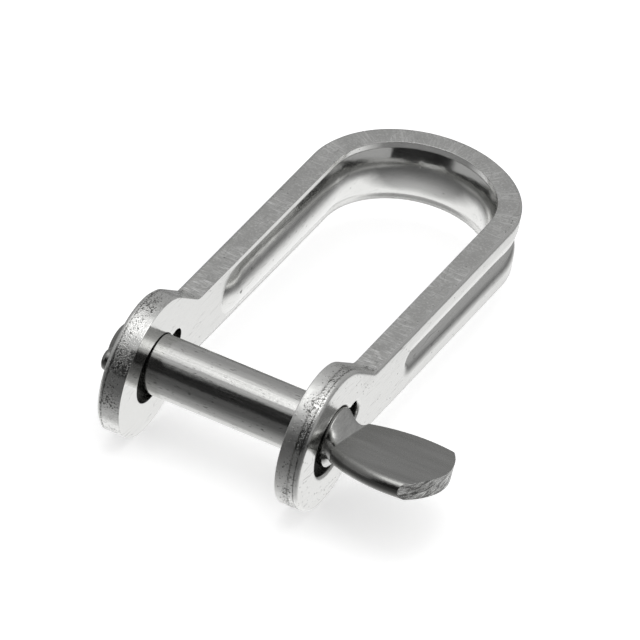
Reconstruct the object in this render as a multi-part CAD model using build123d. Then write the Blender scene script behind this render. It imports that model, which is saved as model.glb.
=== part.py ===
"""Flat shackle: an embossed strip bent to a U with two round ears, closed by a key pin.

Millimetres, +Z up. The origin is on the pin's axis, midway between the two ears.
X runs along the pin towards its blade, Y runs from the pin to the bow, and Z is
across the strip. The shackle lies on the edges of its ears, as it does on a bench.

There are two pieces. The bow is one blank, punched from plate, embossed along its
middle and bent. The pin is one rod: its far end carries a small pressed lug, and its
near end is flattened to a blade that two fingers can turn.
"""
import os

from build123d import *

# The strip and its two ears
PLATE = 2.0               # thickness of the plate that the blank is punched from
STRIP_WIDTH = 5.6         # width of the legs and of the bow
JAW = 13.8                # inside width between the two ears
LEG_LENGTH = 31.0         # from the middle of the ears to the middle of the bend
EAR_WALL = 2.95           # metal round the hole, to the rim of the ear
SHOULDER_END = 6.8        # from the middle of the ear to where its shoulders meet the leg
SHOULDER_BLEND = 1.5      # radius of the hollow where they meet
DIE_ROLL = 0.2            # the punched edge is rolled over on the outer face, drawn as a bevel

# The embossed stiffener along the strip
BEAD_RIM = 0.55           # flat rim that is left on each side of the bead
BEAD_HEIGHT = 0.65        # how far the bead stands up from the inner face
BEAD_START = 13.85        # from the middle of the ear to the middle of the bead's round end
GROOVE_WIDTH = 0.9        # groove that the punch left in the outer face
GROOVE_FLOOR = 0.25       # width of its flat bottom
GROOVE_DEPTH = 0.5        # from the lip of the groove to its bottom
DISH_RUN = 1.1            # the outer face falls away towards the groove over this width
DISH_DIP = 0.25           # and it falls away by this much

# The hole with its keyway, the same in both ears
HOLE_SLACK = 1.0          # the hole is this much wider than the pin
KEYWAY_WIDTH = 2.2
KEYWAY_DEPTH = 1.35       # from the wall of the hole to the end of the keyway
KEYWAY_ANGLE = 14.0       # from the leg's direction, towards +Z
HOLE_BEVEL = 0.15         # bevel on the edge of the hole, on the outer face

# The key pin
PIN_DIAMETER = 5.0
PIN_PLAY = 0.08           # the loose pin lies against one side of its holes, with this gap
PIN_LEAN = 57.0           # that side, from the leg's direction towards +Z
PIN_TAIL = 1.7            # how far the round end stands out of the far ear
TAIL_ROUND = 1.2          # radius on that end
LUG_SLIP = 0.2            # gap between the lug and the keyway that it passes through
LUG_THICKNESS = 1.0
LUG_GAP = 0.2             # between the lug and the far ear
LUG_ROUND = 0.3

# The blade that the rod's end is flattened to
BLADE_TILT = -14.0        # turn of the blade from flat, about the pin's axis
BLADE_THICKNESS = 1.5
NECK_GAP = 0.15           # from the near ear to where the rod starts to flatten
NECK_LENGTH = 1.2
NECK_WIDTH = 7.8          # blade's width where the neck ends
BLADE_WIDTH = 10.8        # blade's greatest width
BLADE_WIDEST = 4.7        # from the end of the neck to the widest place
BLADE_LENGTH = 8.3        # from the end of the neck to the tip
TIP_WIDTH = 9.4
TIP_RADIUS = 8.5          # curve of the sheared end, seen from above

# Worked out from the sizes above
INNER_FACE = JAW / 2
OUTER_FACE = INNER_FACE + PLATE
HALF_STRIP = STRIP_WIDTH / 2
HALF_BEAD = HALF_STRIP - BEAD_RIM
HALF_GROOVE = GROOVE_WIDTH / 2
HALF_FLOOR = GROOVE_FLOOR / 2
HALF_DISH = HALF_GROOVE + DISH_RUN
LIP = OUTER_FACE - DISH_DIP
HOLE_RADIUS = (PIN_DIAMETER + HOLE_SLACK) / 2
EAR_RADIUS = HOLE_RADIUS + EAR_WALL
KEYWAY_REACH = HOLE_RADIUS + KEYWAY_DEPTH
PIN_OFFSET = HOLE_SLACK / 2 - PIN_PLAY
LUG_WIDTH = KEYWAY_WIDTH - 2 * LUG_SLIP
LUG_REACH = KEYWAY_REACH - 2 * LUG_SLIP
NEAR = 1e-3               # lengths below this count as nothing


def across_leg(y):
    """Plane across the right leg: first axis along X, second axis along Z."""
    return Plane(origin=(0, y, 0), x_dir=(1, 0, 0), z_dir=(0, -1, 0))


def across_pin(x):
    """Plane across the pin: first axis along Y, second axis along Z."""
    return Plane(origin=(x, 0, 0), x_dir=(0, 1, 0), z_dir=(1, 0, 0))


def bead_line():
    """Crest of the bead, across the inner face."""
    return ThreePointArc((INNER_FACE, HALF_BEAD), (INNER_FACE - BEAD_HEIGHT, 0), (INNER_FACE, -HALF_BEAD))


def groove_line():
    """Bottom of the groove, from one lip to the other."""
    floor = LIP - GROOVE_DEPTH
    return Polyline((LIP, -HALF_GROOVE), (floor, -HALF_FLOOR), (floor, HALF_FLOOR), (LIP, HALF_GROOVE))


def dish_line(side):
    """Soft dish from the flat outer face down to a lip; side is 1 or -1."""
    return TangentArc((OUTER_FACE, side * HALF_DISH), (LIP, side * HALF_GROOVE), tangent=(0, -side))


def strip_section():
    """Face across the embossed strip, in the plane of across_leg."""
    flat = HALF_STRIP - DIE_ROLL
    square = OUTER_FACE - DIE_ROLL
    outline = [bead_line(), groove_line()]
    for side in (1, -1):
        outline += [
            Line((INNER_FACE, side * HALF_BEAD), (INNER_FACE, side * HALF_STRIP)),
            Line((INNER_FACE, side * HALF_STRIP), (square, side * HALF_STRIP)),
            Line((square, side * HALF_STRIP), (OUTER_FACE, side * flat)),
            Line((OUTER_FACE, side * flat), (OUTER_FACE, side * HALF_DISH)),
            dish_line(side),
        ]
    return make_face(outline)


def half_turn(outline):
    """Solid of half a turn about the middle of the bead's round end."""
    axis = Axis((0, BEAD_START, 0), (1, 0, 0))
    return revolve(across_leg(BEAD_START) * make_face(outline), axis, 180)


def bead_end():
    """Half dome that closes the bead on the inner face."""
    backing = INNER_FACE + PLATE / 4
    crest = bead_line().trim(0, 0.5)
    closing = Polyline(
        (INNER_FACE - BEAD_HEIGHT, 0),
        (backing, 0),
        (backing, HALF_BEAD),
        (INNER_FACE, HALF_BEAD),
    )
    return half_turn([crest, closing])


def groove_end():
    """Cutter that closes the groove and its dish on the outer face."""
    clear = OUTER_FACE + PLATE
    outline = Polyline(
        (LIP, HALF_GROOVE),
        (LIP - GROOVE_DEPTH, HALF_FLOOR),
        (LIP - GROOVE_DEPTH, 0),
        (clear, 0),
        (clear, HALF_DISH),
        (OUTER_FACE, HALF_DISH),
    )
    return half_turn([outline, dish_line(1)])


def ear_outline():
    """Outline of the ear and of the plain start of its leg, along Y and Z."""
    leg = Pos(BEAD_START / 2, 0) * Rectangle(BEAD_START, STRIP_WIDTH)
    neck = Pos(SHOULDER_END / 2, 0) * Rectangle(SHOULDER_END, STRIP_WIDTH)
    outline = make_hull((Circle(EAR_RADIUS) + neck).edges()) + leg
    corners = [v for v in outline.vertices() if abs(v.X - SHOULDER_END) < NEAR]
    return fillet(corners, SHOULDER_BLEND)


def slot_out(reach, width):
    """Slot from the middle outwards, with a round end at its reach."""
    middle = reach - width / 2
    return Pos(middle / 2, 0) * Rectangle(middle, width) + Pos(middle, 0) * Circle(width / 2)


def ear_and_leg():
    """Right ear with its keyed hole, the plain start of its leg and the bead's end."""
    side = across_pin(INNER_FACE)
    plate = extrude(side * ear_outline(), PLATE)
    rim = plate.faces().sort_by(Axis.X)[-1].edges()
    plate = chamfer([e for e in rim if e.center().Y < BEAD_START - NEAR], DIE_ROLL)
    plate = plate + bead_end() - groove_end()
    key_hole = Circle(HOLE_RADIUS) + Rot(0, 0, KEYWAY_ANGLE) * slot_out(KEYWAY_REACH, KEYWAY_WIDTH)
    plate -= extrude(side * key_hole, PLATE)
    mouth = [e for e in plate.edges() if abs(e.center().X - OUTER_FACE) < NEAR]
    mouth = [e for e in mouth if Vector(0, e.center().Y, e.center().Z).length < KEYWAY_REACH + NEAR]
    return chamfer(mouth, HOLE_BEVEL)


def make_bow():
    """The whole bow, in one piece, set aside by the play of the loose pin at the origin."""
    section = strip_section()
    leg = extrude(across_leg(LEG_LENGTH) * section, LEG_LENGTH - BEAD_START)
    side = ear_and_leg() + leg
    bend = revolve(across_leg(LEG_LENGTH) * section, Axis((0, LEG_LENGTH, 0), (0, 0, 1)), 180)
    aside = Rot(PIN_LEAN, 0, 0) * Pos(0, -PIN_OFFSET, 0) * Rot(-PIN_LEAN, 0, 0)
    return aside * (side + bend + mirror(side, Plane.YZ))


def blade_section(x, width):
    """Face across the blade: flat above and below, full round at both sides."""
    return across_pin(x) * SlotOverall(width, BLADE_THICKNESS)


def make_lug():
    """Lug that keeps the pin in, on the near side of the round end."""
    start = Plane(origin=(-OUTER_FACE - LUG_GAP, 0, 0), x_dir=(0, -1, 0), z_dir=(-1, 0, 0))
    lug = extrude(start * slot_out(LUG_REACH, LUG_WIDTH), LUG_THICKNESS)
    return fillet(lug.faces().sort_by(Axis.X)[0].edges(), LUG_ROUND)


def make_blade(start, tip):
    """Blade from the end of the neck to its sheared, slightly curved tip."""
    blade = loft([
        blade_section(start, NECK_WIDTH),
        blade_section(start + BLADE_WIDEST, BLADE_WIDTH),
        blade_section(tip, TIP_WIDTH),
    ])
    return blade & Pos(tip - TIP_RADIUS, 0, 0) * Cylinder(TIP_RADIUS, 2 * BLADE_THICKNESS)


def make_key_pin():
    """The whole pin, in one piece."""
    tail = -OUTER_FACE - PIN_TAIL
    neck_start = OUTER_FACE + NECK_GAP
    neck_end = neck_start + NECK_LENGTH
    shank = extrude(across_pin(tail) * Circle(PIN_DIAMETER / 2), neck_start - tail)
    shank = fillet(shank.edges().sort_by(Axis.X)[0], TAIL_ROUND)
    rod_end = across_pin(neck_start) * Circle(PIN_DIAMETER / 2)
    neck = loft([rod_end, blade_section(neck_end, NECK_WIDTH)], ruled=True)
    pin = shank + make_lug() + neck + make_blade(neck_end, neck_end + BLADE_LENGTH)
    return Rot(BLADE_TILT, 0, 0) * pin


os.makedirs("parts", exist_ok=True)
for name, make in (("bow", make_bow), ("key_pin", make_key_pin)):
    solid = make()
    export_step(solid, f"parts/{name}.step")
    print(name, "volume", round(solid.volume, 2), "mm3, valid", solid.is_valid)
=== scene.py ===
# %% [markdown]
# # A flat shackle, dressed for its photograph
#
# The shackle has two pieces of stainless steel: a bow, punched from plate, embossed and bent,
# and a loose key pin with a flattened blade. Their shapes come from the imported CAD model. This
# lesson gives them their finishes, a studio to stand in, and the photograph's own view.

# %% Load the CAD frame
import math

import bmesh
import bpy
from mathutils import Euler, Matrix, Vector


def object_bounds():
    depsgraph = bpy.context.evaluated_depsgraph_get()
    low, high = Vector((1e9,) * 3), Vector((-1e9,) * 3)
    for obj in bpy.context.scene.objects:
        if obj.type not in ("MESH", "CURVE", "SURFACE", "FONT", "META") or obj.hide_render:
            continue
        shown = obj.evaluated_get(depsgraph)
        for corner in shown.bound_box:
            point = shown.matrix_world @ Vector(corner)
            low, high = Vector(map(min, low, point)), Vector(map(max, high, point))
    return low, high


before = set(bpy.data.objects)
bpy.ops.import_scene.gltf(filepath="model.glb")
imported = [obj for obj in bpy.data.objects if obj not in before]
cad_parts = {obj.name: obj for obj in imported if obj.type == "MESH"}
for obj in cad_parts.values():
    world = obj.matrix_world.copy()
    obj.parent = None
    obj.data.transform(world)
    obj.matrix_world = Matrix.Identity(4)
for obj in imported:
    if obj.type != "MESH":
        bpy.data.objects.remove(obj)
CAD_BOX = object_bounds()
MM = 0.001
print("pieces from the CAD:", sorted(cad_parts), "box", CAD_BOX)

# %% [markdown]
# ## Colours
#
# A colour is easiest to compare with a photograph as an sRGB hex code, but Blender's shaders
# work with linear light. One function turns the first into the second, for every colour below.


# %% Turn a hex colour into linear light
def colour(code):
    """Linear RGBA of an sRGB hex code such as "C8C8C8"."""
    channels = [int(code[i:i + 2], 16) / 255 for i in (0, 2, 4)]
    linear = [c / 12.92 if c <= 0.04045 else ((c + 0.055) / 1.055) ** 2.4 for c in channels]
    return (*linear, 1.0)


print("middle grey in linear light:", [round(c, 3) for c in colour("808080")[:3]])

# %% [markdown]
# ## One helper for every shader node
#
# A procedural material is a small graph. Adding a node, choosing its settings and linking its
# inputs is always the same three steps, so one function does all three. Some nodes hide the
# inputs and outputs that their settings leave unused, and the function passes over those: a
# Mix node has four results, for numbers, vectors, colours and turns, but shows only one.


# %% Add a node with its settings and links
def add_node(tree, kind, *values, **named):
    """New node of a kind, with its settings and links.

    Values go to its inputs in order. A name in small letters is a setting of the node, and a
    name with a capital is an input. A value that is a node stands for its first shown output.
    """
    node = tree.nodes.new(kind)
    inputs = {}
    for name, value in named.items():
        if name.islower():
            setattr(node, name, value)
        else:
            inputs[node.inputs[name.replace("_", " ")]] = value
    inputs.update(zip([socket for socket in node.inputs if socket.enabled], values))
    for socket, value in inputs.items():
        if isinstance(value, bpy.types.Node):
            value = next(output for output in value.outputs if output.enabled)
        if isinstance(value, bpy.types.NodeSocket):
            tree.links.new(value, socket)
        else:
            socket.default_value = value
    return node


def new_material(title):
    """Material with an empty tree of nodes."""
    material = bpy.data.materials.new(title)
    material.use_nodes = True
    material.node_tree.nodes.clear()
    return material, material.node_tree


# %% [markdown]
# ## The photograph's view
#
# The picture was taken with a long lens from far away, so its lines stay almost parallel. The
# camera's place and turn below were found by fitting the CAD's sizes to the picture's outlines.

# %% Place the camera
CAMERA_PLACE = (0.295431, -0.747566, 0.566426)
CAMERA_TURN = (54.82341, -8.1822, 26.89358)
SENSOR, LENS = 36.0, 706.702
NEAREST, FARTHEST = 0.05, 20.0

camera_data = bpy.data.cameras.new("camera")
camera_data.sensor_width = SENSOR
camera_data.lens = LENS
camera_data.clip_start = NEAREST
camera_data.clip_end = FARTHEST
camera = bpy.data.objects.new("camera", camera_data)
camera.location = CAMERA_PLACE
camera.rotation_euler = Euler([math.radians(a) for a in CAMERA_TURN], "XYZ")
bpy.context.scene.collection.objects.link(camera)
bpy.context.scene.camera = camera
bpy.context.scene.view_settings.view_transform = "Standard"
print("camera to shackle:", round(camera.location.length, 3), "m")

# %% [markdown]
# ## A white floor that keeps the shadow
#
# The photograph's ground is pure white. More lamp light would whiten it too, but it would also
# burn out the steel. So the floor stays an ordinary matt white sheet, lit at a plain level, and
# only the rays that come from the camera, or through clear things, see a little glow added to
# it. Where the shackle takes the sky's light away, less is added to that glow, and this is the
# shadow. The steel's own mirror rays pass through the floor, to the white world and the screens
# below: so the low screen can darken the steel without hiding the floor from the camera.


# %% Tell which rays carry the picture
def seen_directly(tree):
    """Node that is 1 for rays from the camera and for those off shiny or through clear things."""
    path = add_node(tree, "ShaderNodeLightPath")
    direct = add_node(tree, "ShaderNodeMath", path.outputs["Is Camera Ray"],
                      path.outputs["Is Glossy Ray"], operation="MAXIMUM")
    return add_node(tree, "ShaderNodeMath", direct, path.outputs["Is Transmission Ray"],
                    operation="MAXIMUM")


# %% Lay the floor
FLOOR_HALF = 3.0
FLOOR_GLOW = 0.5
FLOOR_ROUGHNESS = 0.9
WHITE, PAPER_WHITE = "FFFFFF", "F2F2F2"

low_corner = CAD_BOX[0]
floor_mesh = bpy.data.meshes.new("floor")
sheet = bmesh.new()
bmesh.ops.create_grid(sheet, x_segments=1, y_segments=1, size=FLOOR_HALF)
bmesh.ops.translate(sheet, verts=sheet.verts, vec=(0, 0, low_corner[2]))
sheet.to_mesh(floor_mesh)
sheet.free()
floor = bpy.data.objects.new("floor", floor_mesh)
bpy.context.scene.collection.objects.link(floor)
floor.visible_glossy = False

white_sheet, tree = new_material("matt white sheet")
glow = add_node(tree, "ShaderNodeMath", seen_directly(tree), FLOOR_GLOW, operation="MULTIPLY")
shader = add_node(tree, "ShaderNodeBsdfPrincipled", Base_Color=colour(PAPER_WHITE),
                  Roughness=FLOOR_ROUGHNESS, Specular_IOR_Level=0.0,
                  Emission_Color=colour(WHITE), Emission_Strength=glow)
add_node(tree, "ShaderNodeOutputMaterial", Surface=shader)
floor_mesh.materials.append(white_sheet)
print("floor at", round(low_corner[2] / MM, 2), "mm")

# %% [markdown]
# ## The sky over the table
#
# Steel has no colour of its own to speak of: it shows what stands round it. The picture was
# taken as a shop does it, over a white ground, so every mirror ray that meets nothing else ends
# in white, the same white that the camera sees. Matt things get a softer, plainer light.

# %% Hang a white world
SKY_LEVEL, MIRROR_LEVEL = 0.7, 1.0

world = bpy.data.worlds.new("studio")
bpy.context.scene.world = world
world.use_nodes = True
tree = world.node_tree
tree.nodes.clear()
soft = add_node(tree, "ShaderNodeBackground", Color=colour(WHITE), Strength=SKY_LEVEL)
plain = add_node(tree, "ShaderNodeBackground", Color=colour(WHITE), Strength=MIRROR_LEVEL)
sky = add_node(tree, "ShaderNodeMixShader", seen_directly(tree), soft, plain)
add_node(tree, "ShaderNodeOutputWorld", Surface=sky)
print("matt things get", SKY_LEVEL, "and mirrors see", MIRROR_LEVEL)

# %% [markdown]
# ## Screens for the steel to mirror
#
# White alone would make the steel look like chalk. A photographer stands dark and grey screens
# round a shiny thing, just outside the picture, and their edges draw its curves. Here are three,
# all bent round the table like parts of a globe: a grey wall on every side, a black screen with
# the camera behind it, and a grey one in front, below the table's edge. Only mirror rays see
# them, so they take no light away. Each fades from one grey to another with its height, as real
# paper does away from its lamp, and the low one thins out to nothing at its two sides.


# %% Bend a sheet round the table
SCREEN_STEP = 3.0         # degrees from one row of the sheet's points to the next


def toward(azimuth, elevation, distance):
    """Point in a direction from the shackle; azimuth runs from the camera's side, -Y, to +X."""
    a, e = math.radians(azimuth), math.radians(elevation)
    return Vector((math.sin(a) * math.cos(e), -math.cos(a) * math.cos(e), math.sin(e))) * distance


def bent_sheet(title, sides, heights, distance):
    """Mesh of a part of a globe, between two azimuths and two elevations."""
    wide, high = sides[1] - sides[0], heights[1] - heights[0]
    # The grid starts flat, with a side of 1 and its middle at the origin
    grid = bmesh.new()
    bmesh.ops.create_grid(grid, x_segments=math.ceil(wide / SCREEN_STEP),
                          y_segments=math.ceil(high / SCREEN_STEP), size=0.5)
    for vert in grid.verts:
        azimuth = sides[0] + (vert.co.x + 0.5) * wide
        elevation = heights[0] + (vert.co.y + 0.5) * high
        vert.co = toward(azimuth, elevation, distance)
    mesh = bpy.data.meshes.new(title)
    grid.to_mesh(mesh)
    grid.free()
    return mesh


print("straight ahead of the camera's side is", toward(0, 0, 1)[:])


# %% Shade the paper
def thin_out(tree, split, paper, sides, thinning):
    """Paper that fades to nothing over the last degrees, its thinning, before each side."""
    middle, half = (sides[0] + sides[1]) / 2, (sides[1] - sides[0]) / 2
    front = add_node(tree, "ShaderNodeMath", split.outputs["Y"], -1.0, operation="MULTIPLY")
    azimuth = add_node(tree, "ShaderNodeMath", split.outputs["X"], front, operation="ARCTAN2")
    off = add_node(tree, "ShaderNodeMath", azimuth, math.radians(middle), operation="SUBTRACT")
    off = add_node(tree, "ShaderNodeMath", off, operation="ABSOLUTE")
    thin = add_node(tree, "ShaderNodeMapRange", off, math.radians(half - thinning),
                    math.radians(half))
    nothing = add_node(tree, "ShaderNodeBsdfTransparent")
    return add_node(tree, "ShaderNodeMixShader", thin, paper, nothing)


def screen_paper(title, sides, distance, greys, thinning):
    """Glowing paper that goes from grey to grey with its height."""
    material, tree = new_material(title)
    coords = add_node(tree, "ShaderNodeTexCoord")
    split = add_node(tree, "ShaderNodeSeparateXYZ", coords.outputs["Object"])
    heights = [toward(0, elevation, distance).z for elevation, level in greys]
    climb = add_node(tree, "ShaderNodeMapRange", split.outputs["Z"], heights[0], heights[-1])
    fade = add_node(tree, "ShaderNodeValToRGB", climb)
    steps = fade.color_ramp.elements
    # New steps may start anywhere, because each gets its place below
    while len(steps) < len(greys):
        steps.new(0.5)
    for step, height, (elevation, level) in zip(steps, heights, greys):
        step.position = (height - heights[0]) / (heights[-1] - heights[0])
        step.color = (level, level, level, 1.0)
    paper = add_node(tree, "ShaderNodeEmission", fade)
    if thinning:
        paper = thin_out(tree, split, paper, sides, thinning)
    add_node(tree, "ShaderNodeOutputMaterial", Surface=paper)
    return material


def add_screen(title, sides, distance, greys, thinning=0.0):
    """Round screen that only mirrors see; greys pairs elevations with levels, from low to high."""
    mesh = bent_sheet(title, sides, (greys[0][0], greys[-1][0]), distance)
    mesh.materials.append(screen_paper(title, sides, distance, greys, thinning))
    screen = bpy.data.objects.new(title, mesh)
    bpy.context.scene.collection.objects.link(screen)
    for ray in ("camera", "diffuse", "transmission", "volume_scatter", "shadow"):
        setattr(screen, "visible_" + ray, False)
    print(title, "from", greys[0][0], "to", greys[-1][0], "degrees up,", len(mesh.polygons), "faces")


# %% Stand the screens round the table
WALL_SIDES, WALL_DISTANCE = (-180, 180), 1.0
WALL_GREYS = [(-38, 1.0), (-33, 0.86), (-27, 0.42), (-20, 0.16), (-11, 0.36), (35, 0.40), (64, 0.60)]
BLACK_SIDES, BLACK_DISTANCE = (-27, 60), 0.6
BLACK_GREYS = [(4, 0.02), (48, 0.01)]
LOW_SIDES, LOW_DISTANCE, LOW_THINNING = (-95, 115), 0.62, 40
LOW_GREYS = [
    (-89, 0.90), (-80, 0.70), (-70, 0.52), (-56, 0.43),
    (-43, 0.29), (-31, 0.19), (-20, 0.12), (5, 0.10),
]

add_screen("grey_wall", WALL_SIDES, WALL_DISTANCE, WALL_GREYS)
add_screen("black_screen", BLACK_SIDES, BLACK_DISTANCE, BLACK_GREYS)
add_screen("low_grey_screen", LOW_SIDES, LOW_DISTANCE, LOW_GREYS, LOW_THINNING)

# %% [markdown]
# ## One large lamp overhead
#
# The broad bright band along the upper part of the pin is the mirror image of a soft box that
# hangs over the table. An area lamp does the same work, and gives the floor its soft shadow.

# %% Hang the soft box
BOX_DISTANCE, BOX_ELEVATION = 0.5, 84
BOX_SIDE = 0.28
BOX_LEVEL = 1.25          # how bright the box looks, where 1 is the white of the sky

box_lamp = bpy.data.lights.new("soft_box", "AREA")
box_lamp.shape = "SQUARE"
box_lamp.size = BOX_SIDE
box_lamp.energy = BOX_LEVEL * math.pi * BOX_SIDE ** 2
soft_box = bpy.data.objects.new("soft_box", box_lamp)
soft_box.location = toward(0, BOX_ELEVATION, BOX_DISTANCE)
soft_box.rotation_euler = soft_box.location.to_track_quat("Z", "Y").to_euler()
bpy.context.scene.collection.objects.link(soft_box)
print("soft box:", round(box_lamp.energy, 3), "W")

# %% [markdown]
# ## The strip's own coordinates
#
# The marks on the bow follow the strip: they lie across it on the legs and all round the bend.
# Plain X and Y can't do that. A UV map could, but the CAD's meshes are to stay as they are, so a
# few maths nodes unroll the U instead. "Across" is the distance from the U's middle line and
# "along" is the length walked from the ears. All sizes from here on are in millimetres.

# %% Measure the bow
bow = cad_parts["bow"]
bow_low = [min(v.co[i] for v in bow.data.vertices) / MM for i in range(3)]
bow_high = [max(v.co[i] for v in bow.data.vertices) / MM for i in range(3)]
last_millimetre = bow_high[1] - 1.0
bend_heights = [v.co[2] / MM for v in bow.data.vertices if v.co[1] / MM > last_millimetre]
STRIP_HALF = (max(bend_heights) - min(bend_heights)) / 2
EAR_RADIUS = (bow_high[2] - bow_low[2]) / 2
EAR_MIDDLE = (bow_low[1] + EAR_RADIUS, (bow_low[2] + bow_high[2]) / 2)  # its Y and Z
BEND_RADIUS = bow_high[0]
BEND_START = bow_high[1] - BEND_RADIUS - EAR_MIDDLE[0]
print("ear radius", round(EAR_RADIUS, 2), "ear middle", EAR_MIDDLE, "half strip", round(STRIP_HALF, 2))
print("outer face", round(BEND_RADIUS, 2), "bend starts", round(BEND_START, 2))

# %% Unroll the U
strip_steel, tree = new_material("tumbled stainless steel, sheared edges")
coords = add_node(tree, "ShaderNodeTexCoord")
point = add_node(tree, "ShaderNodeMapping", Vector=coords.outputs["Object"],
                 Scale=(1 / MM, 1 / MM, 1 / MM), Location=(0, -EAR_MIDDLE[0], -EAR_MIDDLE[1]))
split = add_node(tree, "ShaderNodeSeparateXYZ", point)
side = add_node(tree, "ShaderNodeMath", split.outputs["X"], operation="ABSOLUTE")
height = add_node(tree, "ShaderNodeMath", split.outputs["Z"], operation="ABSOLUTE")
past = add_node(tree, "ShaderNodeMath", split.outputs["Y"], BEND_START, operation="SUBTRACT")
past = add_node(tree, "ShaderNodeMath", past, 0.0, operation="MAXIMUM")
arm = add_node(tree, "ShaderNodeCombineXYZ", X=side, Y=past)
across = add_node(tree, "ShaderNodeVectorMath", arm, operation="LENGTH")
turn = add_node(tree, "ShaderNodeMath", past, side, operation="ARCTAN2")
walked = add_node(tree, "ShaderNodeMath", split.outputs["Y"], BEND_START, operation="MINIMUM")
along = add_node(tree, "ShaderNodeMath", turn, BEND_RADIUS, walked, operation="MULTIPLY_ADD")
unrolled = add_node(tree, "ShaderNodeCombineXYZ", across, along, split.outputs["Z"])
spoke = add_node(tree, "ShaderNodeCombineXYZ", Y=split.outputs["Y"], Z=split.outputs["Z"])
from_ear = add_node(tree, "ShaderNodeVectorMath", spoke, operation="LENGTH")
print("unrolled with", len(tree.nodes), "nodes")

# %% [markdown]
# ## Where the punch tore the steel
#
# The bow is stainless steel, blanked from sheet and tumbled in a barrel. Blanking leaves three
# kinds of surface. The faces keep the mill's smooth skin, which tumbling polishes nearly to a
# mirror. The sheared edges are torn metal, greyer and satin. The edge that the punch pressed on
# first is rolled over and a little pitted. A mask is a number from 0 to 1 over the surface that
# says where each one is, and the two values of a mask's range are where it is 0 and where it is
# 1. The normal finds the sheared edges, for only they face along Z or along an ear's rim.

# %% Find the sheared edges, and the hole's wall for its painted shade
EDGE_FACING = (0.82, 0.92)  # how squarely a leg's edge faces up or down
WALL_FACING = (0.6, 0.4)  # how far an ear's rim turns towards X
EAR_END = 7.0             # from the middle of the ear to where its shoulders end
HOLE_END = 4.6            # from there to just past the end of the keyway
BLUR = 0.1                # width over which a mask's edge goes from 0 to 1

facing = add_node(tree, "ShaderNodeSeparateXYZ", coords.outputs["Normal"])
facing_x = add_node(tree, "ShaderNodeMath", facing.outputs["X"], operation="ABSOLUTE")
facing_z = add_node(tree, "ShaderNodeMath", facing.outputs["Z"], operation="ABSOLUTE")
leg_edge = add_node(tree, "ShaderNodeMapRange", facing_z, *EDGE_FACING)
on_ear = add_node(tree, "ShaderNodeMapRange", split.outputs["Y"], EAR_END + 2 * BLUR, EAR_END)
wall_like = add_node(tree, "ShaderNodeMapRange", facing_x, *WALL_FACING)
ear_wall = add_node(tree, "ShaderNodeMath", on_ear, wall_like, operation="MULTIPLY")
# The hole's wall is masked for painted shade: a dark grey for the narrow gap round the pin
inside = add_node(tree, "ShaderNodeMapRange", from_ear, HOLE_END, HOLE_END - BLUR)
hole_wall_shade = add_node(tree, "ShaderNodeMath", ear_wall, inside, operation="MULTIPLY")
sheared = add_node(tree, "ShaderNodeMath", leg_edge, ear_wall, operation="MAXIMUM")
blade_side = add_node(tree, "ShaderNodeMath", split.outputs["X"], 0.0, operation="GREATER_THAN")
print("masks for the legs' edges, the ears' rims and the keyed hole")

# %% Measure the way from the punched outline
ROUND_PART = (5.0, 4.0)   # the ear's round rim hands over to the leg's straight edge here
ROLL_WIDTH = 0.9

ear_gap = add_node(tree, "ShaderNodeMath", EAR_RADIUS, from_ear, operation="SUBTRACT")
leg_gap = add_node(tree, "ShaderNodeMath", STRIP_HALF, height, operation="SUBTRACT")
round_part = add_node(tree, "ShaderNodeMapRange", split.outputs["Y"], *ROUND_PART)
edge_gap = add_node(tree, "ShaderNodeMix", round_part, leg_gap, ear_gap, data_type="FLOAT")
face_gap = add_node(tree, "ShaderNodeMath", BEND_RADIUS, across, operation="SUBTRACT")
gap = add_node(tree, "ShaderNodeMath", edge_gap, face_gap, operation="MAXIMUM")
rolled = add_node(tree, "ShaderNodeMapRange", gap, ROLL_WIDTH, ROLL_WIDTH / 4)
rough_zone = add_node(tree, "ShaderNodeMath", rolled, wall_like, operation="MULTIPLY")
rough_zone = add_node(tree, "ShaderNodeMath", rough_zone, ear_wall, operation="MAXIMUM")
print("rolled edge:", ROLL_WIDTH, "mm wide")

# %% [markdown]
# ## Painted shade: two thin dark lines round the rim of an ear
#
# A punch first presses the plate, then cuts it, then tears it. On the rim the three stages meet
# at two creases, and the shade along them is painted as two thin dark lines round the ear. The
# first lies where pressing gave way to cutting. The second, a lip, lies where the cut gave way to
# tearing, and its painted shade is put only on the ear by the blade, as in the picture. A line is
# a mask too, of the distance from its middle.

# %% Draw the painted crease shade and the zone round the lip
ROLL_LINE = 0.4           # from the outer face to the first line
ROLL_SHADE_HALF = (0.09, 0.03)
LIP = 0.88                # from the outer face to the lip, or on a face from the outline
LIP_SHADE_HALF = (0.12, 0.04)
LIP_ZONE = (0.9, 0.1)     # distance from the lip within which pits crowd together
LIP_SHADE_DARKNESS = 0.75

lip = add_node(tree, "ShaderNodeMath", gap, LIP, operation="SUBTRACT")
lip = add_node(tree, "ShaderNodeMath", lip, operation="ABSOLUTE")
near_lip = add_node(tree, "ShaderNodeMapRange", lip, *LIP_ZONE)
near_lip = add_node(tree, "ShaderNodeMath", near_lip, on_ear, operation="MULTIPLY")
lip_shade = add_node(tree, "ShaderNodeMapRange", lip, *LIP_SHADE_HALF, 0.0, LIP_SHADE_DARKNESS)
lip_shade = add_node(tree, "ShaderNodeMath", lip_shade, blade_side, operation="MULTIPLY")
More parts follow.
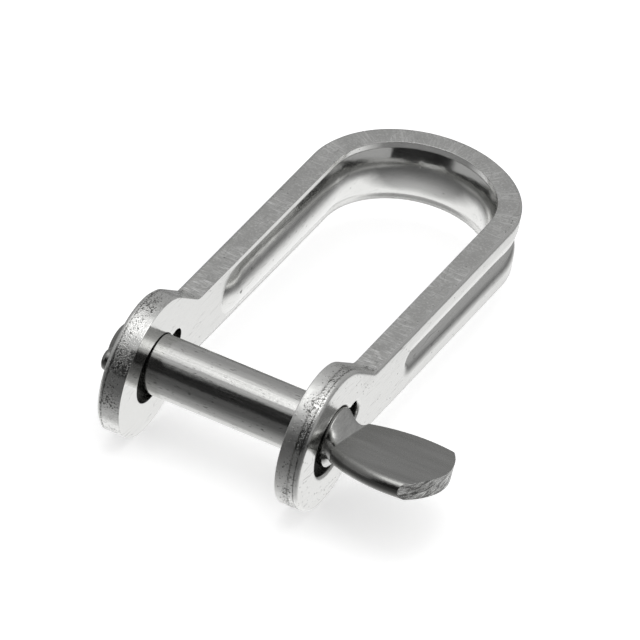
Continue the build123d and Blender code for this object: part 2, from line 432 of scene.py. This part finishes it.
# Painted shade along the rim's two creases: thin dark lines, the lip's on the blade side only
roll_crease_shade = add_node(tree, "ShaderNodeMath", face_gap, ROLL_LINE, operation="SUBTRACT")
roll_crease_shade = add_node(tree, "ShaderNodeMath", roll_crease_shade, operation="ABSOLUTE")
roll_crease_shade = add_node(tree, "ShaderNodeMapRange", roll_crease_shade, *ROLL_SHADE_HALF)
rim_crease_shade = add_node(tree, "ShaderNodeMath", roll_crease_shade, lip_shade, operation="MAXIMUM")
rim_crease_shade = add_node(tree, "ShaderNodeMath", rim_crease_shade, ear_wall, operation="MULTIPLY")
print("lines on the rim", ROLL_LINE, "and", LIP, "mm in")

# %% [markdown]
# ## Marks left by the punch and the tumbling barrel
#
# Noise stretched across the strip gives the fine torn lines of a sheared edge; they are about a
# fifth of a millimetre apart. They come in patches, so a slow noise says where they show, and
# towards the bend they are rubbed weaker. A tumbling barrel leaves low dents and a few
# scratches all over. Real tumbling dents are finer still: here they are as coarse as the
# picture can show. All this could be painted on by hand, but noise needs no picture, stays
# sharp from close by and comes out the same on every run.

# %% Draw the torn lines
MARK_GAP, MARK_LENGTH = 0.22, 1.6
PATCH = 2.4
PATCH_LEVELS = (0.40, 0.56)  # levels of the slow noise
LINE_LEVELS = (0.5, 0.64)    # levels of the stretched noise
RUBBED_PART = (14.0, 30.0)   # along the strip, from fresh lines to rubbed ones
FRESH, RUBBED = 1.0, 0.55

fine = add_node(tree, "ShaderNodeMapping", Vector=unrolled,
                Scale=(1 / MARK_LENGTH, 1 / MARK_GAP, 1 / MARK_GAP))
marks = add_node(tree, "ShaderNodeTexNoise", Vector=fine, Scale=1.0, Detail=3.0, Roughness=0.6,
                 Distortion=0.5)
patches = add_node(tree, "ShaderNodeTexNoise", Vector=unrolled, Scale=1 / PATCH, Detail=2.0)
marked = add_node(tree, "ShaderNodeMapRange", patches, *PATCH_LEVELS)
worn = add_node(tree, "ShaderNodeMapRange", along, *RUBBED_PART, FRESH, RUBBED)
marked = add_node(tree, "ShaderNodeMath", marked, worn, operation="MULTIPLY")
pale_lines = add_node(tree, "ShaderNodeMapRange", marks, *LINE_LEVELS)
pale_lines = add_node(tree, "ShaderNodeMath", pale_lines, marked, operation="MULTIPLY")
print("torn lines", MARK_GAP, "mm apart in patches of", PATCH, "mm")

# %% Draw the dents and the scratches
DENT = 0.9
SCRATCH_GAP, SCRATCH_LENGTH, SCRATCH_DEPTH = 0.9, 9.0, 1.0
SCRATCH_TURN = 0.9        # radians
NOISE_MEAN = 0.5
SCRATCH_WIDTH = 0.008     # a scratch is where the noise comes this near to its mean

dents = add_node(tree, "ShaderNodeTexNoise", Vector=point, Scale=1 / DENT, Detail=2.0)
slant = add_node(tree, "ShaderNodeMapping", Vector=point, Rotation=(SCRATCH_TURN, 0, 0),
                 Scale=(1 / SCRATCH_DEPTH, 1 / SCRATCH_LENGTH, 1 / SCRATCH_GAP))
scratches = add_node(tree, "ShaderNodeTexNoise", Vector=slant, Scale=1.0, Detail=2.0, Distortion=0.6)
scratches = add_node(tree, "ShaderNodeMath", scratches, NOISE_MEAN, operation="SUBTRACT")
scratches = add_node(tree, "ShaderNodeMath", scratches, operation="ABSOLUTE")
scratches = add_node(tree, "ShaderNodeMapRange", scratches, SCRATCH_WIDTH, 0.0)
scratches = add_node(tree, "ShaderNodeMath", scratches, marked, operation="MULTIPLY")
print("dents", DENT, "mm wide, scratches up to", SCRATCH_LENGTH, "mm long")

# %% [markdown]
# ## Pits
#
# Where the edge rolled over and on the ears' rims, the skin broke into ragged little pits. A fine
# noise that is cut off at a level gives them, and where a slow noise lowers that level they
# crowd together. Single round pits lie scattered over the whole bow, most of them near the lip.
# A Voronoi texture fills space with cells, each with a middle and a random colour, and a round
# pit is drawn in those cells whose colour is high enough.

# %% Draw the ragged pits
PIT = 0.17
CLOUD_LEVELS = (0.38, 0.66)
PIT_LEVELS = (0.72, 0.58)  # level that makes a pit, from where pits are few to where they crowd
PIT_LIP = 0.08            # and it is lower by this much at the lip
PIT_EDGE = (0.0, 0.03)    # how far past that level the noise goes
GRAIN_EDGE = (-0.12, 0.04)  # the same for the raised grain that the pits sit on

clouds = add_node(tree, "ShaderNodeTexNoise", Vector=point, Scale=1 / PATCH, Detail=3.0)
specks = add_node(tree, "ShaderNodeTexNoise", Vector=point, Scale=1 / PIT, Detail=2.0, Roughness=0.7)
pit_level = add_node(tree, "ShaderNodeMapRange", clouds, *CLOUD_LEVELS, *PIT_LEVELS)
pit_level = add_node(tree, "ShaderNodeMath", near_lip, -PIT_LIP, pit_level, operation="MULTIPLY_ADD")
over = add_node(tree, "ShaderNodeMath", specks, pit_level, operation="SUBTRACT")
pits = add_node(tree, "ShaderNodeMapRange", over, *PIT_EDGE)
pits = add_node(tree, "ShaderNodeMath", pits, rough_zone, operation="MULTIPLY")
grains = add_node(tree, "ShaderNodeMapRange", over, *GRAIN_EDGE)
grains = add_node(tree, "ShaderNodeMath", grains, rough_zone, operation="MULTIPLY")
print("ragged pits", PIT, "mm wide")

# %% Draw the round pits
DOT_SPACING = 0.24
DOT_RADIUS = 0.36         # of the widest pit, as a share of the spacing
DOT_EDGE = (0.0, 0.08)
DOT_DARKNESS = 0.8
DOTS_AWAY, DOTS_AT_LIP = 0.03, 0.5  # share of the cells that hold a pit

cells = add_node(tree, "ShaderNodeTexVoronoi", Vector=point, Scale=1 / DOT_SPACING)
chance = add_node(tree, "ShaderNodeSeparateColor", cells.outputs["Color"]).outputs["Red"]
bare = add_node(tree, "ShaderNodeMapRange", near_lip, 0.0, 1.0, 1 - DOTS_AWAY, 1 - DOTS_AT_LIP)
radius = add_node(tree, "ShaderNodeMapRange", chance, bare, 1.0, 0.0, DOT_RADIUS)
dots = add_node(tree, "ShaderNodeMath", radius, cells.outputs["Distance"], operation="SUBTRACT")
dots = add_node(tree, "ShaderNodeMapRange", dots, *DOT_EDGE, 0.0, DOT_DARKNESS)
print("round pits up to", round(2 * DOT_RADIUS * DOT_SPACING, 2), "mm wide")

# %% [markdown]
# ## Colour, gloss and relief of the bow
#
# Each finish has its own grey and its own roughness, and the masks choose between them. A metal's
# base colour is the share of light that it mirrors, so polished faces are pale and torn metal is
# darker. Edges with real rounds would need thousands of new faces. A bevel node rounds only
# their look: a wide round on the rolled-over outer edge, a tight one on the inner edge, which
# the barrel only broke, and the softest on the lower inner edge, where the picture shows a
# broad bright line.

# %% Choose the bow's greys
FACE_STEEL, FACE_STEEL_PALE = "E2E2E0", "EEEEEC"
EDGE_STEEL, EDGE_STEEL_PALE = "CACAC8", "FFFFFE"
RIM_STEEL = "E6E6E4"
# The next grey is for real pits and scratches, and also for the painted shade along the rim's creases
PIT_AND_CREASE_SHADE_STEEL = "70706E"
# Painted shade: a dark grey for the hole's wall, for the narrow gap round the pin
HOLE_SHADE_STEEL = "6A6A68"
GRAIN_LEVELS, GRAIN_PALENESS = (0.5, 0.7), 0.6
BREAK_LEVELS, BREAK_LEFT = (0.38, 0.56), 0.1  # the specks break the rim's painted shade lines, all but this much
SCRATCH_DARKNESS = 0.5

face_grey = add_node(tree, "ShaderNodeMix", clouds, colour(FACE_STEEL), colour(FACE_STEEL_PALE),
                     data_type="RGBA")
pale_grains = add_node(tree, "ShaderNodeMapRange", specks, *GRAIN_LEVELS, 0.0, GRAIN_PALENESS)
pale = add_node(tree, "ShaderNodeMath", pale_lines, pale_grains, operation="MAXIMUM")
edge_grey = add_node(tree, "ShaderNodeMix", pale, colour(EDGE_STEEL), colour(EDGE_STEEL_PALE),
                     data_type="RGBA")
edge_grey = add_node(tree, "ShaderNodeMix", ear_wall, edge_grey, colour(RIM_STEEL), data_type="RGBA")
grey = add_node(tree, "ShaderNodeMix", sheared, face_grey, edge_grey, data_type="RGBA")
flaws_and_shade = add_node(tree, "ShaderNodeMath", scratches, SCRATCH_DARKNESS, pits, operation="MULTIPLY_ADD")
broken = add_node(tree, "ShaderNodeMapRange", specks, *BREAK_LEVELS, BREAK_LEFT, 1.0)
# Painted shade: the dark lines along the rim's creases join the real pits and scratches here
crease_shade = add_node(tree, "ShaderNodeMath", rim_crease_shade, broken, operation="MULTIPLY")
flaws_and_shade = add_node(tree, "ShaderNodeMath", flaws_and_shade, crease_shade, operation="MAXIMUM")
flaws_and_shade = add_node(tree, "ShaderNodeMath", flaws_and_shade, dots, operation="MAXIMUM")
grey = add_node(tree, "ShaderNodeMix", flaws_and_shade, grey, colour(PIT_AND_CREASE_SHADE_STEEL), data_type="RGBA")
# Painted shade on the hole's wall
grey = add_node(tree, "ShaderNodeMix", hole_wall_shade, grey, colour(HOLE_SHADE_STEEL), data_type="RGBA")
print("bow: greys from", PIT_AND_CREASE_SHADE_STEEL, "to", EDGE_STEEL_PALE)

# %% Choose the bow's gloss
NOISE_MIDDLE = (0.35, 0.65)  # most of a noise's levels lie between these two
FACE_ROUGHNESS = (0.12, 0.2)
LEG_ROUGHNESS = (0.3, 0.42)
RIM_ROUGHNESS = (0.1, 0.2)
TORN_PART = (0.85, 0.95)  # from the outer face to where the rim by the blade turns satin
TORN_ROUGHNESS = 0.2
ROLLED_ROUGHNESS = 0.06

face_rough = add_node(tree, "ShaderNodeMapRange", clouds, *NOISE_MIDDLE, *FACE_ROUGHNESS)
leg_rough = add_node(tree, "ShaderNodeMapRange", patches, *NOISE_MIDDLE, *LEG_ROUGHNESS)
rim_rough = add_node(tree, "ShaderNodeMapRange", clouds, *NOISE_MIDDLE, *RIM_ROUGHNESS)
rough = add_node(tree, "ShaderNodeMix", leg_edge, face_rough, leg_rough, data_type="FLOAT")
torn_part = add_node(tree, "ShaderNodeMapRange", face_gap, *TORN_PART, 0.0, TORN_ROUGHNESS)
torn_part = add_node(tree, "ShaderNodeMath", torn_part, blade_side, operation="MULTIPLY")
rim_rough = add_node(tree, "ShaderNodeMath", rim_rough, torn_part, operation="ADD")
rough = add_node(tree, "ShaderNodeMix", ear_wall, rough, rim_rough, data_type="FLOAT")
rough = add_node(tree, "ShaderNodeMath", rolled, ROLLED_ROUGHNESS, rough, operation="MULTIPLY_ADD")
print("bow: roughness from", RIM_ROUGHNESS[0], "to", LEG_ROUGHNESS[1])

# %% Give the bow its relief
BEVEL_SAMPLES = 6
INNER_ROUND, OUTER_ROUND, LOW_ROUND = 0.12, 0.3, 0.6
OUTER_HALF = (1.2, 0.8)   # an edge this near to the outer face is a rolled one
DENT_DEPTH, GRAIN_DEPTH, LINE_DEPTH = 0.012, 0.008, 0.035

tight = add_node(tree, "ShaderNodeBevel", samples=BEVEL_SAMPLES, Radius=INNER_ROUND * MM)
wide = add_node(tree, "ShaderNodeBevel", samples=BEVEL_SAMPLES, Radius=OUTER_ROUND * MM)
soft = add_node(tree, "ShaderNodeBevel", samples=BEVEL_SAMPLES, Radius=LOW_ROUND * MM)
low_top = LOW_ROUND - STRIP_HALF
low_rim = add_node(tree, "ShaderNodeMapRange", split.outputs["Z"], low_top, low_top - BLUR)
off_ear = add_node(tree, "ShaderNodeMath", 1.0, on_ear, operation="SUBTRACT")
low_rim = add_node(tree, "ShaderNodeMath", low_rim, off_ear, operation="MULTIPLY")
outer_half = add_node(tree, "ShaderNodeMapRange", face_gap, *OUTER_HALF)
relief = add_node(tree, "ShaderNodeMix", low_rim, tight, soft, data_type="VECTOR")
relief = add_node(tree, "ShaderNodeMix", outer_half, relief, wide, data_type="VECTOR")
torn = add_node(tree, "ShaderNodeMath", marks, leg_edge, operation="MULTIPLY")
torn = add_node(tree, "ShaderNodeMath", torn, marked, operation="MULTIPLY")
for heights, depth in ((dents, DENT_DEPTH), (grains, GRAIN_DEPTH), (torn, LINE_DEPTH)):
    relief = add_node(tree, "ShaderNodeBump", Strength=1.0, Distance=depth * MM, Height=heights,
                      Normal=relief)

shader = add_node(tree, "ShaderNodeBsdfPrincipled", Metallic=1.0, Base_Color=grey, Roughness=rough,
                  Normal=relief)
add_node(tree, "ShaderNodeOutputMaterial", Surface=shader)
for slot in bow.material_slots:
    slot.material = strip_steel
print("bow:", strip_steel.name, "with", len(tree.nodes), "nodes")

# %% [markdown]
# ## Drawn stainless steel for the key pin
#
# The pin is cut from bright drawn bar. Drawing pulls the bar through a die, so faint streaks run
# along it and blur the mirror images a little, and short nicks lie among them. Its blade was
# squeezed flat in a press: greyer and satin, with the bar's streaks spread out over it. The
# round flanks are painted a little darker, which is painted shade, and the neck, where the metal
# was pulled out wide, is paler and streaked. The end past the far ear is painted darker too, as
# painted shade. The tip was sheared off and stays rough, with curved tear lines. Each part could
# have a material of its own, but one material with masks lets a finish run on into the next, as
# it does on one piece of bar.

# %% Find the parts of the pin
NECK_RUN = 1.35           # from the ear's face to where the blade is flat
NECK_BLUR, TAIL_BLUR, BLADE_BLUR = 0.3, 0.2, 0.05
TIP_REACH = (-2.5, -2.0)  # from the foremost point back to where the sheared end may begin
TIP_FACING = (0.6, 0.8)

key_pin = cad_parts["key_pin"]
pin_tip = max(v.co[0] for v in key_pin.data.vertices) / MM
blade_start = BEND_RADIUS + NECK_RUN
pin_steel, tree = new_material("drawn stainless steel, satin blade")
coords = add_node(tree, "ShaderNodeTexCoord")
point = add_node(tree, "ShaderNodeMapping", Vector=coords.outputs["Object"],
                 Scale=(1 / MM, 1 / MM, 1 / MM))
reach = add_node(tree, "ShaderNodeSeparateXYZ", point).outputs["X"]
facing_x = add_node(tree, "ShaderNodeSeparateXYZ", coords.outputs["Normal"]).outputs["X"]
on_neck = add_node(tree, "ShaderNodeMapRange", reach, BEND_RADIUS, BEND_RADIUS + NECK_BLUR)
# The end past the far ear is masked for painted shade: it gets a darker grey below
tail_shade = add_node(tree, "ShaderNodeMapRange", reach, TAIL_BLUR - BEND_RADIUS, -BEND_RADIUS)
on_blade = add_node(tree, "ShaderNodeMapRange", reach, blade_start - BLADE_BLUR, blade_start)
near_tip = add_node(tree, "ShaderNodeMapRange", reach, *[pin_tip + r for r in TIP_REACH])
end_on = add_node(tree, "ShaderNodeMapRange", facing_x, *TIP_FACING)
on_tip = add_node(tree, "ShaderNodeMath", near_tip, end_on, operation="MULTIPLY")
print("blade from", round(blade_start, 2), "to", round(pin_tip, 2), "mm")

# %% Find the flanks of the blade and its neck
BLADE_TILT = -14.0
FLANK_FACING = (0.45, 0.75)

sideways = (0.0, math.cos(math.radians(BLADE_TILT)), math.sin(math.radians(BLADE_TILT)))
flank = add_node(tree, "ShaderNodeVectorMath", coords.outputs["Normal"], sideways,
                 operation="DOT_PRODUCT")
flank = add_node(tree, "ShaderNodeMath", flank, operation="ABSOLUTE")
flank = add_node(tree, "ShaderNodeMapRange", flank, *FLANK_FACING)
# The flanks are masked for painted shade: they get a darker grey below
flank_shade = add_node(tree, "ShaderNodeMath", flank, on_neck, operation="MULTIPLY")
print("the flanks face along", [round(c, 2) for c in sideways])

# %% Draw the pin's streaks, nicks, grain and tears
STREAK_GAP, STREAK_LENGTH = 0.2, 5.0
NICK_GAP, NICK_LENGTH = 0.14, 0.5
NICK_LEVELS = (0.63, 0.72)
NICK_DARKNESS = 0.7
GRAIN = 0.35
SPREAD_LENGTH, SPREAD_WIDTH, SPREAD_DEPTH = 6.7, 1.1, 2.0
SPREAD_TURN = 0.35        # radians
TEAR_GAP, TEAR_LENGTH = 0.35, 1.6
TEAR_TURN = 0.7           # radians

stretch = add_node(tree, "ShaderNodeMapping", Vector=point,
                   Scale=(1 / STREAK_LENGTH, 1 / STREAK_GAP, 1 / STREAK_GAP))
streaks = add_node(tree, "ShaderNodeTexNoise", Vector=stretch, Scale=1.0, Detail=3.0, Roughness=0.6)
short = add_node(tree, "ShaderNodeMapping", Vector=point,
                 Scale=(1 / NICK_LENGTH, 1 / NICK_GAP, 1 / NICK_GAP))
nicks = add_node(tree, "ShaderNodeTexNoise", Vector=short, Scale=1.0, Detail=2.0, Roughness=0.6)
nicks = add_node(tree, "ShaderNodeMapRange", nicks, *NICK_LEVELS, 0.0, NICK_DARKNESS)
grain = add_node(tree, "ShaderNodeTexNoise", Vector=point, Scale=1 / GRAIN, Detail=3.0, Roughness=0.6)
spread = add_node(tree, "ShaderNodeMapping", Vector=point, Rotation=(0, 0, SPREAD_TURN),
                  Scale=(1 / SPREAD_LENGTH, 1 / SPREAD_WIDTH, 1 / SPREAD_DEPTH))
spread = add_node(tree, "ShaderNodeTexNoise", Vector=spread, Scale=1.0, Detail=3.0)
slant = add_node(tree, "ShaderNodeMapping", Vector=point, Rotation=(TEAR_TURN, 0, 0),
                 Scale=(1 / TEAR_LENGTH, 1 / TEAR_LENGTH, 1 / TEAR_GAP))
tears = add_node(tree, "ShaderNodeTexNoise", Vector=slant, Scale=1.0, Detail=4.0, Roughness=0.65,
                 Distortion=0.8)
print("streaks", STREAK_GAP, "mm apart, nicks", NICK_LENGTH, "mm long, tears", TEAR_GAP, "mm apart")

# %% Choose the pin's greys
BAR_STEEL, BAR_STEEL_PALE = "C2C2C0", "DCDCDA"
NICK_STEEL = "5A5A58"
# Painted shade: a darker grey for the end past the far ear
TAIL_SHADE_STEEL = "949492"
NECK_STEEL, NECK_STEEL_PALE = "A8A8A6", "EEEEEC"
BLADE_STEEL, BLADE_STEEL_PALE = "8C8C8A", "BCBCBA"
# Painted shade: a darker grey for the round flanks
FLANK_SHADE_STEEL = "8E8E8C"
TIP_STEEL, TIP_STEEL_PALE = "6E6E6C", "E0E0DE"
TIP_LEVELS = (0.4, 0.62)

bar_grey = add_node(tree, "ShaderNodeMix", streaks, colour(BAR_STEEL), colour(BAR_STEEL_PALE),
                    data_type="RGBA")
neck_grey = add_node(tree, "ShaderNodeMix", tears, colour(NECK_STEEL), colour(NECK_STEEL_PALE),
                     data_type="RGBA")
blade_grey = add_node(tree, "ShaderNodeMix", spread, colour(BLADE_STEEL), colour(BLADE_STEEL_PALE),
                      data_type="RGBA")
tip_tears = add_node(tree, "ShaderNodeMapRange", tears, *TIP_LEVELS)
tip_grey = add_node(tree, "ShaderNodeMix", tip_tears, colour(TIP_STEEL), colour(TIP_STEEL_PALE),
                    data_type="RGBA")
grey = bar_grey
# The tail's and the flanks' greys below are painted shade; nicks, neck, blade and tip are the steel's
# own
for mask, paint in ((nicks, colour(NICK_STEEL)), (tail_shade, colour(TAIL_SHADE_STEEL)), (on_neck, neck_grey),
                    (on_blade, blade_grey), (flank_shade, colour(FLANK_SHADE_STEEL)), (on_tip, tip_grey)):
    grey = add_node(tree, "ShaderNodeMix", mask, grey, paint, data_type="RGBA")
print("key pin: greys from", NICK_STEEL, "to", NECK_STEEL_PALE)

# %% Choose the pin's gloss and give it its relief
NOISE_WIDE = (0.3, 0.7)
BAR_ROUGHNESS = (0.11, 0.2)
BLADE_ROUGHNESS = (0.22, 0.28)
FLANK_ROUGHNESS = 0.26
PIN_ROUND = 0.1
STREAK_DEPTH, PIN_GRAIN_DEPTH, TEAR_DEPTH = 0.006, 0.004, 0.2

bar_rough = add_node(tree, "ShaderNodeMapRange", streaks, *NOISE_WIDE, *BAR_ROUGHNESS)
blade_rough = add_node(tree, "ShaderNodeMapRange", grain, *NOISE_WIDE, *BLADE_ROUGHNESS)
blade_rough = add_node(tree, "ShaderNodeMix", flank, blade_rough, FLANK_ROUGHNESS, data_type="FLOAT")
rough = add_node(tree, "ShaderNodeMix", on_neck, bar_rough, blade_rough, data_type="FLOAT")
tip_relief = add_node(tree, "ShaderNodeMath", tears, on_tip, operation="MULTIPLY")
relief = add_node(tree, "ShaderNodeBevel", samples=BEVEL_SAMPLES, Radius=PIN_ROUND * MM)
for heights, depth in ((streaks, STREAK_DEPTH), (grain, PIN_GRAIN_DEPTH), (tip_relief, TEAR_DEPTH)):
    relief = add_node(tree, "ShaderNodeBump", Strength=1.0, Distance=depth * MM, Height=heights,
                      Normal=relief)

shader = add_node(tree, "ShaderNodeBsdfPrincipled", Metallic=1.0, Base_Color=grey, Roughness=rough,
                  Normal=relief)
add_node(tree, "ShaderNodeOutputMaterial", Surface=shader)
for slot in key_pin.material_slots:
    slot.material = pin_steel
print("key pin:", pin_steel.name, "with", len(tree.nodes), "nodes")
